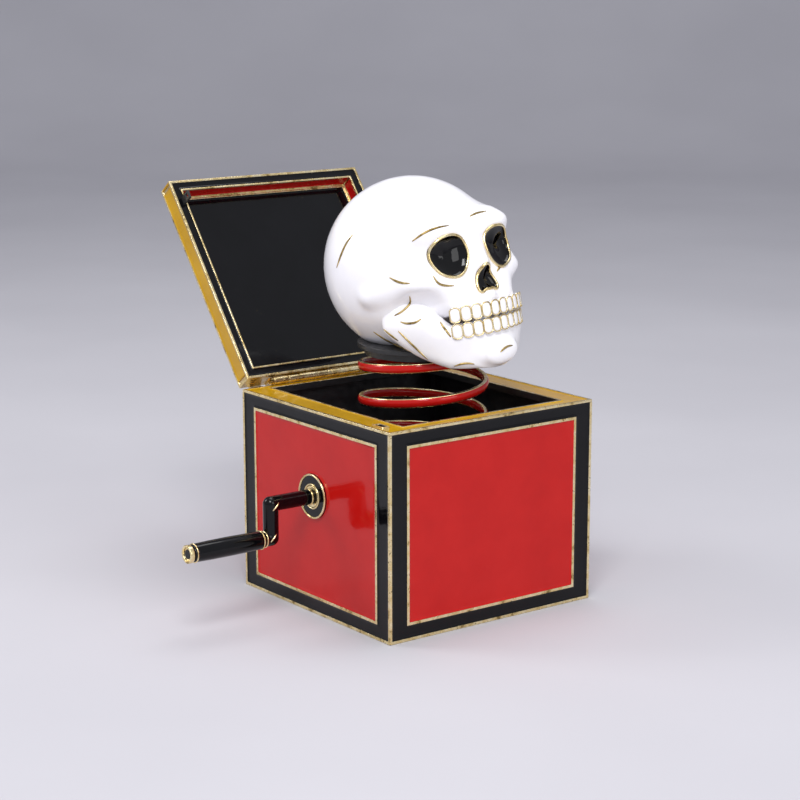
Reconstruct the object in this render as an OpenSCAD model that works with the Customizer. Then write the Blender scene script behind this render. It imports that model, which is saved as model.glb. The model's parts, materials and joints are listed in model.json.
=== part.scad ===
// Jack in the box: a square metal box with a hinged lid, a side crank that
// turns a small tune movement, and a skull carried on a coil spring.
// Frame: millimetres, Z up, origin at the middle of the box's underside.
// The front is -Y, the crank side is -X and the lid hinges at +Y.
// The stored pose is lid open, jack up, crank hanging down.

/* [Box] */
// Outside width and depth of the square box, over the raised brass lines
box_side = 140; // [138:1:150]
// Height from the table to the box's top edge
box_height = 115; // [115:1:120]
// Width of the black border at the left and right of each side
border_side = 11.5; // [8:0.5:16]
// Width of the black border at the top and bottom of each side
border_level = 8.5; // [6:0.5:14]
// Width of the raised brass lines between the enamel fills
line_width = 1.6; // [1.5:0.1:2.2]
// How far the brass lines stand above their plates
line_height = 1.4; // [1.2:0.1:1.4]
// How far the enamel lies below the tops of the brass lines
enamel_drop = 0.3; // [0.1:0.05:0.5]

/* [Top opening] */
// Half the width of the opening in the top, left to right
mouth_half = 54; // [53.5:0.5:55]
// Width of the top border at the front
mouth_front = 9.5; // [8.5:0.5:9.5]
// Width of the top border at the back
mouth_back = 6.5; // [6:0.5:8]

/* [Lid] */
// How far the open lid has turned from closed, in degrees
lid_open = 128; // [110:1:128]
// Thickness of the whole lid
lid_thick = 11.8; // [11.6:0.1:14]
// Depth of the hollow in the underside of the lid
lid_hollow = 9; // [8.8:0.1:9]
// Width of the rim around that hollow
lid_rim = 7; // [6.5:0.5:8]

/* [Crank] */
// Height of the crank's axis above the table
crank_height = 67; // [66:0.5:70]
// Distance from the box side to the crank's first elbow
crank_reach = 28; // [20:1:40]
// Length of the crank's arm, axis to axis
crank_throw = 19; // [14:1:30]
// Length of the turning grip
grip_length = 45; // [30:1:60]

/* [Movement] */
// Teeth on the gear at the crank's shaft
teeth_crank = 15; // [15:1:15]
// Teeth on the idler between the crank and the drum
teeth_idler = 31; // [31:2:31]
// Teeth on the tune drum's gear
teeth_drum = 41; // [41:2:41]

/* [Jack] */
// Radius of the skull's round cranium
skull_radius = 49.5; // [46:0.5:49.5]
// Angle the skull is turned towards +X
skull_yaw = 8; // [0:1:10]
// Angle the skull looks up
skull_pitch = 10; // [6:1:12]
// Angle the skull is tilted towards -X
skull_roll = 3; // [0:1:4]
// Mean radius of the coil spring
coil_radius = 35; // [30:1:35]
// Thickness of the spring's wire
wire = 3.6; // [2.5:0.1:3.6]
// Number of half turns in the spring
half_turns = 14; // [12:2:14]

/* [Hidden] */
e = 0.01;
h = box_side / 2;
wi = h - 4;
top = box_height;
band = 1.6;
wall_h = top - band;
face = h - line_height;
fill = h - enamel_drop;
// mouth of the box
my0 = -h + mouth_front;
my1 = h - mouth_back;
// lid, closed
lw = h - 3;
ly0 = -h + 3.5;
ly1 = h - 3.5;
zb = top + 0.05;
zt = zb + lid_thick;
hinge_y = h - 1;
hinge_z = top + 2.4;
// gear train
r1 = teeth_crank / 2;
r2 = teeth_idler / 2;
r3 = teeth_drum / 2;
span = r1 + 2 * r2 + r3;
drum_y = -(h - 27);
drum_z = crank_height - sqrt(span * span - drum_y * drum_y);
train = atan2(drum_z - crank_height, drum_y);
idler_y = (r1 + r2) * cos(train);
idler_z = crank_height + (r1 + r2) * sin(train);
gx0 = -wi + 5;
gx1 = -wi + 8.5;
plate_x = -wi + 9.5;
// jack
cx = 3;
cy = 6.5;
cz = top + 72;
sx = 2.5;
sy = -4;
plate_z = cz - 43.6;
arch_c = 16.9;
arch_r = 43.1;

$fn = 96;

// ---------- helpers
// a drawing in (y, z), made thick along +X from x0
module yz(x0, t) translate([x0, 0, 0]) rotate([90, 0, 90]) linear_extrude(height = t) children();
// a drawing in (x, z), made thick along -Y from y0
module xz(y0, t) translate([0, y0, 0]) rotate([90, 0, 0]) linear_extrude(height = t) children();
// a drawing in (x, y), made thick along +Z from z0
module xy(z0, t) translate([0, 0, z0]) linear_extrude(height = t) children();
module rect(x0, x1, y0, y1) translate([x0, y0]) square([x1 - x0, y1 - y0]);
module ring2(x, y0, y1, w) difference() {
  rect(-x, x, y0, y1);
  rect(-x + w, x - w, y0 + w, y1 - w);
}
module bar_x(x0, x1, y, z, r) translate([x0, y, z]) rotate([0, 90, 0]) cylinder(r = r, h = x1 - x0);
module hex_x(x0, x1, y, z, af) yz(x0, x1 - x0) translate([y, z]) circle(r = af / sqrt(3), $fn = 6);

// ---------- sides of the box; each is drawn as the front and turned
module wall() {
  xy(0, wall_h) polygon([[-face, -face], [face, -face], [wi, -wi], [-wi, -wi]]);
  for (s = [-1, 1])
    xy(0, wall_h) polygon([[s * h, -h], [s * (h - line_width), -h], [s * (h - line_width), -face], [s * face, -face]]);
  xz(-face, line_height) rect(-h + line_width, h - line_width, 0, line_width);
  xz(-face, line_height) difference() {
    rect(-h + border_side, h - border_side, border_level, top - border_level);
    rect(-h + border_side + line_width, h - border_side - line_width, border_level + line_width, top - border_level - line_width);
  }
}
module border() xz(-face, fill - face) difference() {
  rect(-h + line_width, h - line_width, line_width, wall_h);
  rect(-h + border_side, h - border_side, border_level, top - border_level);
}
module panel() xz(-face, fill - face)
  rect(-h + border_side + line_width, h - border_side - line_width, border_level + line_width, top - border_level - line_width);

module front_wall() color("goldenrod") wall();
module right_wall() color("goldenrod") rotate(90) wall();
module back_wall() color("goldenrod") rotate(180) wall();
module left_wall() color("goldenrod") difference() {
  rotate(-90) wall();
  bar_x(-h - 1, -wi + 1, 0, crank_height, 6);
}
module front_border() color("black") border();
module right_border() color("black") rotate(90) border();
module back_border() color("black") rotate(180) border();
module left_border() color("black") rotate(-90) border();
module front_panel() color("firebrick") panel();
module right_panel() color("firebrick") rotate(90) panel();
module back_panel() color("firebrick") rotate(180) panel();
module left_panel() color("firebrick") difference() {
  rotate(-90) panel();
  bar_x(-h - 1, -wi + 1, 0, crank_height, 12.5);
}

// ---------- floor and posts
module base_plate() color("goldenrod") difference() {
  xy(0, 3) rect(-wi, wi, -wi, wi);
  for (x = [-1, 1]) for (y = [-1, 1]) translate([x * (wi - 2.4), y * (wi - 2.4), -1]) {
    cylinder(r = 1.25, h = 5);
    cylinder(r = 2.2, h = 2.6);
  }
}
module base_screws() color("silver")
  for (x = [-1, 1]) for (y = [-1, 1]) translate([x * (wi - 2.4), y * (wi - 2.4), 0.2]) {
    difference() {
      cylinder(r = 2.1, h = 1.4);
      translate([-3, -0.3, -1]) cube([6, 0.6, 1.6]);
    }
    translate([0, 0, 1.4]) cylinder(r = 1.2, h = 8);
  }
module corner_posts() color("goldenrod")
  for (x = [-1, 1]) for (y = [-1, 1]) difference() {
    translate([x * (wi - 2.4) - 2.4, y * (wi - 2.4) - 2.4, 3]) cube([4.8, 4.8, top - 7]);
    translate([x * (wi - 2.4), y * (wi - 2.4), 0]) cylinder(r = 1.25, h = 12);
  }

// ---------- top frame
slot_x0 = -wi + 2.4;
slot_x1 = -wi + 5;
slot_y0 = -h + 14.2;
slot_y1 = -h + 21.2;
module mouth(g = 0) rect(-mouth_half - g, mouth_half + g, my0 - g, my1 + g);
module catch_slot(g = 0) rect(slot_x0 - g, slot_x1 + g, slot_y0 - g, slot_y1 + g);
module top_frame() color("goldenrod") difference() {
  union() {
    xy(top - band, band - 1) difference() { rect(-h, h, -h, h); mouth(); }
    xy(top - 4, 4 - band) difference() { rect(-wi, wi, -wi, wi); mouth(); }
    xy(top - 1, 1) difference() { rect(-h, h, -h, h); rect(-h + line_width, h - line_width, -h + line_width, h - line_width); }
    xy(top - 1, 1) difference() { mouth(line_width); mouth(); }
    xy(top - 1, 1) catch_slot(0.9);
  }
  translate([0, 0, top - 5]) linear_extrude(height = 6) catch_slot();
}
module top_enamel() color("gold") xy(top - 1, 1 - enamel_drop) difference() {
  rect(-h + line_width, h - line_width, -h + line_width, h - line_width);
  mouth(line_width);
  catch_slot(0.9);
}

// ---------- hinge
fixed_runs = [[-50, -40], [-10, 10], [40, 50]];
moving_runs = [[-39.7, -10.3], [10.3, 39.7]];
module hinge_leaf_fixed() color("goldenrod") difference() {
  union() {
    xz(h + 1, 1) rect(-50, 50, top - 17, top - 0.5);
    for (r = fixed_runs) {
      xz(h + 1, 1) rect(r[0], r[1], top - 1, hinge_z);
      bar_x(r[0], r[1], hinge_y, hinge_z, 2.2);
    }
  }
  bar_x(-60, 60, hinge_y, hinge_z, 1.1);
  for (x = [-44, -15, 15, 44]) translate([x, h + 2, top - 10]) rotate([90, 0, 0]) cylinder(r = 1.3, h = 4);
}
module hinge_pin() color("goldenrod") {
  bar_x(-51, 51, hinge_y, hinge_z, 1.1);
  bar_x(-52, -50.3, hinge_y, hinge_z, 1.9);
  bar_x(50.3, 52, hinge_y, hinge_z, 1.9);
}
module hinge_rivets() color("goldenrod")
  for (x = [-44, -15, 15, 44]) translate([x, h + 1, top - 10]) rotate([-90, 0, 0]) {
    translate([0, 0, -1]) cylinder(r = 1.3, h = 1 + e);
    difference() {
      sphere(r = 2.2, $fn = 48);
      translate([-3, -3, -6]) cube([6, 6, 6]);
    }
  }
module lid_stops() color("goldenrod") {
  for (x = [-60, 52]) yz(x, 8)
    polygon([[h, top - 16], [h + 1.5, top - 16], [h + 9.5, top - 3], [h + 9.5, stop_z], [h, stop_z]]);
}
module hinge_leaf_moving() color("goldenrod") open_lid() difference() {
  union() {
    xz(ly1 + 1, 1) rect(-50, 50, hinge_z + 2.6, zt - 0.6);
    for (r = moving_runs) {
      xz(ly1 + 1, 1) rect(r[0], r[1], hinge_z, hinge_z + 3);
      bar_x(r[0], r[1], hinge_y, hinge_z, 2.2);
    }
  }
  bar_x(-60, 60, hinge_y, hinge_z, 1.15);
}
// where the back top corner of the open lid comes down to
stop_z = hinge_z + (ly1 - hinge_y) * sin(-lid_open) + (zt - hinge_z) * cos(lid_open) - 0.1;

// ---------- lid, drawn closed and turned open about the hinge
module open_lid() translate([0, hinge_y, hinge_z]) rotate([-lid_open, 0, 0]) translate([0, -hinge_y, -hinge_z]) children();
module lid_rect(d) rect(-lw + d, lw - d, ly0 + d, ly1 - d);
catch_x0 = slot_x0 + 0.7;
catch_y0 = slot_y0 + 1;
module catch_foot() xy(zb - 1, 4) rect(catch_x0, catch_x0 + 1.2, catch_y0, catch_y0 + 5);
module lid_shell() color("goldenrod") open_lid() difference() {
  xy(zb, lid_thick) lid_rect(0);
  xy(zb - 1, 1 + lid_hollow) lid_rect(lid_rim);
  // pocket in the rim
  xy(zb - 1, 2) difference() { lid_rect(line_width); lid_rect(lid_rim - 1.2); }
  // pocket in the walls of the hollow
  xy(zb + 1.2, lid_hollow - 2.4) lid_rect(lid_rim - 0.9);
  // pocket in the floor of the hollow
  xy(zb + lid_hollow - e, 0.8 + e) lid_rect(lid_rim + 1.4);
  // pockets in the three outer sides
  xy(zb + 1.3, lid_thick - 2.6) difference() {
    rect(-lw - 1, lw + 1, ly0 - 1, ly1 - 2);
    rect(-lw + 0.9, lw - 0.9, ly0 + 0.9, ly1);
  }
  // pockets in the top
  xy(zt - 0.8, 2) difference() { lid_rect(line_width); lid_rect(border_side); }
  xy(zt - 0.8, 2) lid_rect(border_side + line_width);
  catch_foot();
}
module lid_rim_enamel() color("black") open_lid() difference() {
  xy(zb + 0.25, 0.75) difference() { lid_rect(line_width); lid_rect(lid_rim - 1.2); }
  catch_foot();
}
module lid_lining() color("firebrick") open_lid()
  xy(zb + 1.2, lid_hollow - 2.4) difference() { lid_rect(lid_rim - 0.9); lid_rect(lid_rim - 0.25); }
module lid_floor_enamel() color("black") open_lid()
  xy(zb + lid_hollow + 0.25, 0.55) lid_rect(lid_rim + 1.4);
module lid_side_enamel() color("gold") open_lid() xy(zb + 1.3, lid_thick - 2.6) difference() {
  rect(-lw + 0.25, lw - 0.25, ly0 + 0.25, ly1 - 2);
  rect(-lw + 0.9, lw - 0.9, ly0 + 0.9, ly1);
}
module lid_top_border() color("black") open_lid()
  xy(zt - 0.8, 0.55) difference() { lid_rect(line_width); lid_rect(border_side); }
module lid_top_panel() color("firebrick") open_lid()
  xy(zt - 0.8, 0.55) lid_rect(border_side + line_width);
module lid_catch() color("dimgray") open_lid() difference() {
  xy(zb - 8, 11) rect(catch_x0, catch_x0 + 1.2, catch_y0, catch_y0 + 5);
  translate([catch_x0 - 1, catch_y0 + 1.2, zb - 6.6]) cube([4, 2.6, 2.2]);
}

// ---------- crank
module crank_escutcheon() color("black") difference() {
  bar_x(-h - 1.2, -face, 0, crank_height, 12.5);
  bar_x(-h - 3, -wi, 0, crank_height, 6);
  difference() {
    bar_x(-h - 3, -h - 0.9, 0, crank_height, 11.4);
    bar_x(-h - 4, -h, 0, crank_height, 7.2);
  }
}
module shaft_bush() color("goldenrod") difference() {
  bar_x(-h - 1.4, -wi + 1.4, 0, crank_height, 6);
  bar_x(-h - 3, -wi + 3, 0, crank_height, 3.05);
}
ex = -h - crank_reach;
ez = crank_height - crank_throw;
module crank_rod() color("black") {
  bar_x(ex, -h - 1.7, 0, crank_height, 4.25);
  translate([ex, 0, crank_height]) sphere(r = 4.25);
  translate([ex, 0, ez]) cylinder(r = 4.25, h = crank_throw);
  translate([ex, 0, ez]) sphere(r = 4.25);
  bar_x(ex - 5, ex, 0, ez, 4.25);
  bar_x(ex - 5 - grip_length - 2.6, ex, 0, ez, 2.5);
  bar_x(-h - 2, gx0 - 0.3, 0, crank_height, 3);
  hex_x(gx0 - 0.4, gx1 + 0.2, 0, crank_height, 5.1);
  bar_x(gx1, plate_x + 4, 0, crank_height, 2.3);
}
module grip_sleeve() color("black") difference() {
  bar_x(ex - 5.4 - grip_length, ex - 5.4, 0, ez, 5);
  bar_x(ex - 6 - grip_length, ex, 0, ez, 2.55);
}
module grip_cap() color("goldenrod") difference() {
  bar_x(ex - 8.2 - grip_length, ex - 5.8 - grip_length, 0, ez, 5);
  bar_x(ex - 9 - grip_length, ex - 7.2 - grip_length, 0, ez, 3.9);
  bar_x(ex - 8 - grip_length, ex, 0, ez, 2.5);
}
module shaft_collar() color("silver") difference() {
  bar_x(plate_x + 1.7, plate_x + 3.8, 0, crank_height, 4.5);
  bar_x(plate_x, plate_x + 6, 0, crank_height, 2.3);
}

// ---------- gears: module 1, 20 degree involute flanks, axes along X
function inva(a) = tan(a) * 180 / PI - a;
function half_at(n, r) = 90 / n - 0.17 / (n / 2) * 180 / PI / 2 + inva(20) - inva(acos(min(1, n / 2 * cos(20) / r)));
function tooth(n) = let (rp = n / 2, ra = rp + 0.82, rr = rp - 1.2, rf = max(rr + 0.1, rp * cos(20)))
  [[rr, -180 / n * 0.56],
   for (k = [0:3]) let (r = rf + (ra - rf) * k / 3) [r, -half_at(n, r)],
   for (k = [3:-1:0]) let (r = rf + (ra - rf) * k / 3) [r, half_at(n, r)],
   [rr, 180 / n * 0.56]];
module gear(n, y, z, turn, af) yz(gx0, gx1 - gx0) translate([y, z]) difference() {
  polygon([for (i = [0:n - 1]) for (p = tooth(n)) [p[0] * cos(p[1] + turn + i * 360 / n), p[0] * sin(p[1] + turn + i * 360 / n)]]);
  circle(r = af / sqrt(3), $fn = 6);
}
module crank_gear() color("gold") gear(teeth_crank, 0, crank_height, train, 5.1);
module idler_gear() color("gold") gear(teeth_idler, idler_y, idler_z, train + 180 - 180 / teeth_idler, 7);
module drum_gear() color("gold") gear(teeth_drum, drum_y, drum_z, train + 180 - 180 / teeth_drum, 4.3);
module idler_bush() color("silver") difference() {
  hex_x(gx0 - 0.3, gx1 + 0.3, idler_y, idler_z, 7);
  bar_x(gx0 - 2, gx1 + 2, idler_y, idler_z, 2.05);
}
module drum_shaft() color("silver") {
  hex_x(gx0 - 0.4, gx1 + 0.3, drum_y, drum_z, 4.3);
  bar_x(gx1, -wi + 37.4, drum_y, drum_z, 2);
}
module tune_drum() color("gold") {
  difference() {
    bar_x(-wi + 12, -wi + 33, drum_y, drum_z, 6.5);
    bar_x(-wi, -wi + 40, drum_y, drum_z, 2);
  }
  for (k = [0:11]) for (j = [0:2])
    translate([-wi + 13.4 + 1.65 * k, drum_y, drum_z]) rotate([46.7 + j * 113 + k * (j == 2 ? 9 : 17), 0, 0]) translate([0, 0, 6.3])
      cylinder(r = 0.45, h = 1.3, $fn = 6);
}
module release_cam() color("silver") translate([gx0, drum_y, drum_z]) rotate([35, 0, 0]) translate([0, 15, 0]) rotate([0, -90, 0]) {
  cylinder(r = 2.5, h = 1.6);
  cylinder(r = 1.3, h = 2.8);
}

// ---------- movement frame
pillars = [[-58.2, 58], [7, 40], [-8, 14], [-30, 75]];
module movement_plate() color("goldenrod") difference() {
  yz(plate_x, 1.5) difference() {
    polygon([[-61.5, 8], [-3, 8], [13, 35], [13, 77], [8, 82], [-34, 82], [-61.5, 63]]);
    for (p = pillars) translate(p) circle(r = 1.5);
    translate([idler_y, idler_z]) circle(r = 2);
    translate([drum_y, drum_z]) circle(r = 2.05);
    translate([0, crank_height]) circle(r = 2.35);
    translate([-44, 62]) circle(r = 8);
    translate([-18, 25]) circle(r = 6);
  }
}
module movement_pillars() color("goldenrod") {
  for (p = pillars) {
    bar_x(-wi, plate_x, p[0], p[1], 2.5);
    bar_x(-wi, plate_x + 2, p[0], p[1], 1.5);
  }
  // the stud that the idler turns on
  bar_x(-wi, plate_x + 2.2, idler_y, idler_z, 2);
  bar_x(-wi, gx0 - 0.5, idler_y, idler_z, 3.4);
}
module drum_bracket() color("goldenrod") difference() {
  union() {
    yz(-wi + 34.5, 1.5) polygon([[drum_y - 7, 3], [drum_y + 7, 3], [drum_y + 4.5, drum_z + 5], [drum_y - 4.5, drum_z + 5]]);
    translate([-wi + 34.5, drum_y - 7, 3]) cube([9, 14, 1.5]);
  }
  bar_x(-wi + 30, -wi + 40, drum_y, drum_z, 2.05);
}
comb_y0 = -wi + 2.5;
module comb_block() color("dimgray") difference() {
  translate([-wi + 12, comb_y0, 3]) cube([21, 6.5, drum_z - 2.6 - 3]);
  for (x = [-wi + 16, -wi + 29]) translate([x, comb_y0 + 3.2, 10]) cylinder(r = 1.2, h = 30);
}
module music_comb() color("silver") difference() {
  translate([-wi + 12, comb_y0, drum_z - 2.6]) cube([21, drum_y - 7.2 - comb_y0, 1]);
  for (k = [0:11]) translate([-wi + 13.4 + 1.65 * k + 0.625, comb_y0 + 6.5, drum_z - 4]) cube([0.4, 12, 4]);
  for (x = [-wi + 16, -wi + 29]) translate([x, comb_y0 + 3.2, 10]) cylinder(r = 1.2, h = 30);
}
module comb_screws() color("silver") for (x = [-wi + 16, -wi + 29]) translate([x, comb_y0 + 3.2, drum_z - 8]) {
  cylinder(r = 1.2, h = 7);
  difference() {
    translate([0, 0, 6.4]) cylinder(r = 2.2, h = 1.5);
    translate([-3, -0.3, 7.2]) cube([6, 0.6, 2]);
  }
}
leaf_x = -wi + 1.9;
module latch_spring() color("silver") difference() {
  union() {
    translate([leaf_x, catch_y0 - 0.5, 3.4]) cube([0.6, 6, zb - 8.7]);
    translate([0, catch_y0 + 3.7, 0]) rotate([90, 0, 0]) linear_extrude(height = 2.4)
      polygon([[leaf_x + 0.5, zb - 6.4], [catch_x0 + 1, zb - 6.4], [catch_x0 + 1, zb - 6], [leaf_x + 0.5, zb - 4.8]]);
  }
  for (y = [1, 4]) bar_x(-wi, -wi + 5, catch_y0 + y, 6.2, 0.8);
}
module latch_rivets() color("goldenrod") for (y = [1, 4]) {
  bar_x(-wi, leaf_x, catch_y0 + y, 6.2, 1.4);
  bar_x(-wi, leaf_x + 1, catch_y0 + y, 6.2, 0.8);
  bar_x(leaf_x + 0.6, leaf_x + 1.3, catch_y0 + y, 6.2, 1.3);
}

// ---------- spring: a level cut through round wire, raised along the coil
coil_h = plate_z - 4.04;
turns = half_turns / 2;
rise = atan(coil_h / turns / (2 * PI * coil_radius));
reach = wire / 2 / sin(rise) / coil_radius * 180 / PI;
function wire_edge(s) = [for (k = [0:7]) let (a = s * reach * cos(180 * k / 7), w = s * wire / 2 * sin(180 * k / 7), r = coil_radius + w) [r * cos(a), r * sin(a)]];
module coil_spring() color("firebrick") translate([sx, sy, 4.02]) rotate(-62)
  linear_extrude(height = coil_h, twist = -360 * turns, slices = turns * 36, $fn = 12)
    polygon(concat(wire_edge(1), [for (p = wire_edge(-1)) if (norm(p - wire_edge(1)[0]) > 0.01 && norm(p - wire_edge(1)[7]) > 0.01) p]));
module spring_seat() color("black") translate([sx, sy, 3]) {
  cylinder(r = coil_radius + 4, h = 1);
  difference() {
    cylinder(r = coil_radius - wire / 2 - 0.4, h = 6);
    translate([0, 0, 1]) cylinder(r = coil_radius - wire / 2 - 3, h = 9);
  }
}

// ---------- skull, drawn facing -Y at the origin
module head() translate([cx, cy, cz]) rotate([0, 0, skull_yaw]) rotate([-skull_pitch, 0, 0]) rotate([0, -skull_roll, 0])
  scale(skull_radius / 49.5) children();
module side_cut(p) translate([-60, 0, 0]) rotate([90, 0, 90]) linear_extrude(height = 120) polygon([for (q = p) [-q[0], q[1]]]);
module front_cut(p) rotate([90, 0, 0]) linear_extrude(height = 75) polygon(concat(p, [for (i = [len(p) - 1:-1:0]) [-p[i][0], p[i][1]]]));
module muzzle() intersection() {
  side_cut([[10, 28], [42, 27], [47.5, 21], [47.5, 14], [46.5, 8], [49, 0], [51, -8], [55, -16], [59, -24], [59, -31], [10, -31]]);
  front_cut([[30, 28], [37, 20], [40, 8], [40, -3], [34, -14], [28, -22], [25.5, -31]]);
  translate([0, -arch_c, -60]) cylinder(r = arch_r, h = 120);
}
module eye2(s) {
  translate([s * 18.5, 7]) circle(r = 10);
  translate([s * 17, 3.5]) circle(r = 8.6);
}
module nose2() {
  polygon([[0, -2], [3.2, -6.5], [6.6, -15], [4, -17.5], [0, -16], [-4, -17.5], [-6.6, -15], [-3.2, -6.5]]);
}
module sockets(y0, y1) {
  for (s = [-1, 1]) xz(-y0, y1 - y0) eye2(s);
  xz(-y0 - 6, y1 - y0) nose2();
}
function arc_pt(r, a) = [r * sin(a), -arch_c - r * cos(a)];
module tooth_row(u0, u1, r) for (k = [-4.5:1:4.5]) translate([0, 0, u0]) linear_extrude(height = u1 - u0)
  polygon([for (q = [[-3.4, -3.95], [2.1, -3.95], [3.1, -2.7], [3.1, 2.7], [2.1, 3.95], [-3.4, 3.95]]) arc_pt(r + q[0], k * 8.1 + q[1])]);
module tooth_groove(u0, u1, r) translate([0, 0, u0]) linear_extrude(height = u1 - u0)
  polygon(concat([for (a = [-41.2:4.12:41.3]) arc_pt(r - 3.6, a)], [arc_pt(70, 41.2), arc_pt(90, 0), arc_pt(70, -41.2)]));
module skull_cranium() color("white") difference() {
  union() {
    translate([cx, cy, cz]) sphere(r = skull_radius);
    head() {
      muzzle();
      for (s = [-1, 1]) {
        translate([s * 29, -30, 0]) sphere(r = 13.5);
        translate([s * 18, -27, 19]) sphere(r = 19.5);
      }
    }
  }
  head() sockets(37.5, 75);
  head() tooth_groove(-44, -22.6, arch_r - 1.8);
  translate([cx, cy + 2, cz]) sphere(r = 36);
  translate([-80, -80, plate_z + 2.6 - 60]) cube([160, 160, 60]);
  screw_holes();
}
module socket_liners() color("black") head() difference() {
  sockets(37.5, 42);
  translate([0, 0, 60]) cube([1, 1, 1]);
}
module upper_teeth() color("white") head() tooth_row(-31, -22.6, arch_r - 1.8);
module lower_teeth() color("white") head() tooth_row(-40, -31.6, arch_r - 2.7);
module jaw_arm(s) difference() {
  intersection() {
    side_cut([[6, -8], [18, -8], [24, -16], [34, -31.6], [58, -31.6], [58.5, -41], [56.5, -52], [51, -59.5], [41, -56], [32, -48], [11, -30]]);
    front_cut([[40, -6], [38, -25], [34, -38], [27, -50], [18, -61]]);
    translate([0, -arch_c, -70]) cylinder(r = arch_r - 0.5, h = 100);
  }
  translate([0, -14, -70]) cylinder(r = 33.5, h = 100);
  translate([-29, -14, -70]) cube([58, 60, 100]);
}
module skull_jaw() color("white") difference() {
  head() difference() {
    jaw_arm();
    sphere(r = 49.5);
    for (s = [-1, 1]) translate([s * 29, -30, 0]) sphere(r = 13.5);
    tooth_groove(-40, -10, arch_r - 2.7);
    muzzle();
  }
  translate([sx, sy, plate_z - 40]) cylinder(r = coil_radius + wire / 2 + 1.2, h = 43);
}
module screw_holes() for (a = [30:120:270]) translate([cx, cy, plate_z - 1]) rotate(a) translate([14, 0, 0]) cylinder(r = 1.5, h = 7);
module skull_base_plate() color("black") difference() {
  translate([sx, sy, 0]) union() {
    translate([0, 0, plate_z]) cylinder(r = coil_radius + wire / 2, h = 2.6);
    difference() {
      translate([0, 0, plate_z - 4]) cylinder(r = coil_radius - wire / 2 - 0.4, h = 5);
      translate([0, 0, plate_z - 8]) cylinder(r = coil_radius - wire / 2 - 3, h = 8);
    }
  }
  screw_holes();
}
module skull_screws() color("silver") for (a = [30:120:270]) translate([cx, cy, plate_z]) rotate(a) translate([14, 0, 0]) {
  cylinder(r = 1.5, h = 6);
  difference() {
    translate([0, 0, -1.6]) cylinder(r = 2.8, h = 1.6);
    translate([-4, -0.4, -2.6]) cube([8, 0.8, 1.8]);
  }
}

base_plate();
base_screws();
corner_posts();
front_wall();
right_wall();
back_wall();
left_wall();
front_border();
right_border();
back_border();
left_border();
front_panel();
right_panel();
back_panel();
left_panel();
top_frame();
top_enamel();
hinge_leaf_fixed();
hinge_pin();
hinge_rivets();
lid_stops();
crank_escutcheon();
shaft_bush();
movement_plate();
movement_pillars();
drum_bracket();
comb_block();
music_comb();
comb_screws();
latch_spring();
latch_rivets();
spring_seat();
coil_spring();
crank_rod();
crank_gear();
shaft_collar();
grip_cap();
grip_sleeve();
idler_gear();
idler_bush();
drum_gear();
drum_shaft();
tune_drum();
release_cam();
lid_shell();
lid_rim_enamel();
lid_side_enamel();
lid_lining();
lid_floor_enamel();
lid_top_border();
lid_top_panel();
hinge_leaf_moving();
lid_catch();
skull_cranium();
skull_jaw();
upper_teeth();
lower_teeth();
socket_liners();
skull_base_plate();
skull_screws();
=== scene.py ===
import json
import math
import bpy
import bmesh
import numpy as np
from mathutils import Matrix, Vector


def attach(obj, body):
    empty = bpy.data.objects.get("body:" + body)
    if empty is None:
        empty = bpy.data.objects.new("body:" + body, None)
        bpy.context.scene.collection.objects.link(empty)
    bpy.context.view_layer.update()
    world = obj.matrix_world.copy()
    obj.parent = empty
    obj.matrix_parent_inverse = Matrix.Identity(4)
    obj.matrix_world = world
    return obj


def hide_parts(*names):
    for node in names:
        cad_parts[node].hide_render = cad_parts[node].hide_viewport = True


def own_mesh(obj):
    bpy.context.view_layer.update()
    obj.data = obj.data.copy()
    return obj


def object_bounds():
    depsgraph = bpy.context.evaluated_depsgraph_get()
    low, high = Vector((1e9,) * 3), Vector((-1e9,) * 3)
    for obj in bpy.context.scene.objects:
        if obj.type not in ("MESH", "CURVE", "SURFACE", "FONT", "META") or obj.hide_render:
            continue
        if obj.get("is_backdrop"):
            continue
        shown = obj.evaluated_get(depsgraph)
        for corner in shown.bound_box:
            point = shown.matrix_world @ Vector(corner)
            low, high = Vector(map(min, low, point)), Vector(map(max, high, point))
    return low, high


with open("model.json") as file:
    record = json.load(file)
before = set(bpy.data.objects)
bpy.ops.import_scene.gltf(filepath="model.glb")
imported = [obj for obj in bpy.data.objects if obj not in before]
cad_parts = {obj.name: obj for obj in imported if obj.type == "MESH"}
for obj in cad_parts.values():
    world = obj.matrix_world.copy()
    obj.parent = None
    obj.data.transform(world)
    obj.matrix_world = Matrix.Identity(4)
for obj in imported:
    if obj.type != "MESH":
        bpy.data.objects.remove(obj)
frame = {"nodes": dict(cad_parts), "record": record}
CAD_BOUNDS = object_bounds()
NODES = frame["nodes"]
MM = 0.001
rng = np.random.default_rng(7)

# ------------------------------------------------------------------ sizes, mm
H, WI, TOP = 70.0, 66.0, 115.0
LW, LY0, LY1 = 67.0, -66.5, 66.5
ZB, LT = 115.05, 11.8
ZT = ZB + LT
HY, HZ = 69.0, 117.4
OPEN = math.radians(128)
SKC = np.array([3.0, 6.5, 187.0])
YAW, PITCH, ROLL = (math.radians(a) for a in (8, 10, 3))
SPX, SPY = 2.5, -4.0
PLATE_Z = 143.4
EX, EZ, CRZ = -98.0, 48.0, 67.0


# ------------------------------------------------------------------ materials
def new_mat(name):
    m = bpy.data.materials.new(name)
    m.use_nodes = True
    nt = m.node_tree
    return m, nt, nt.nodes["Principled BSDF"]


def add(nt, kind, **props):
    n = nt.nodes.new(kind)
    for k, v in props.items():
        if k in n.inputs:
            n.inputs[k].default_value = v
        else:
            setattr(n, k, v)
    return n


def coords(nt):
    return add(nt, "ShaderNodeTexCoord").outputs["Object"]


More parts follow.
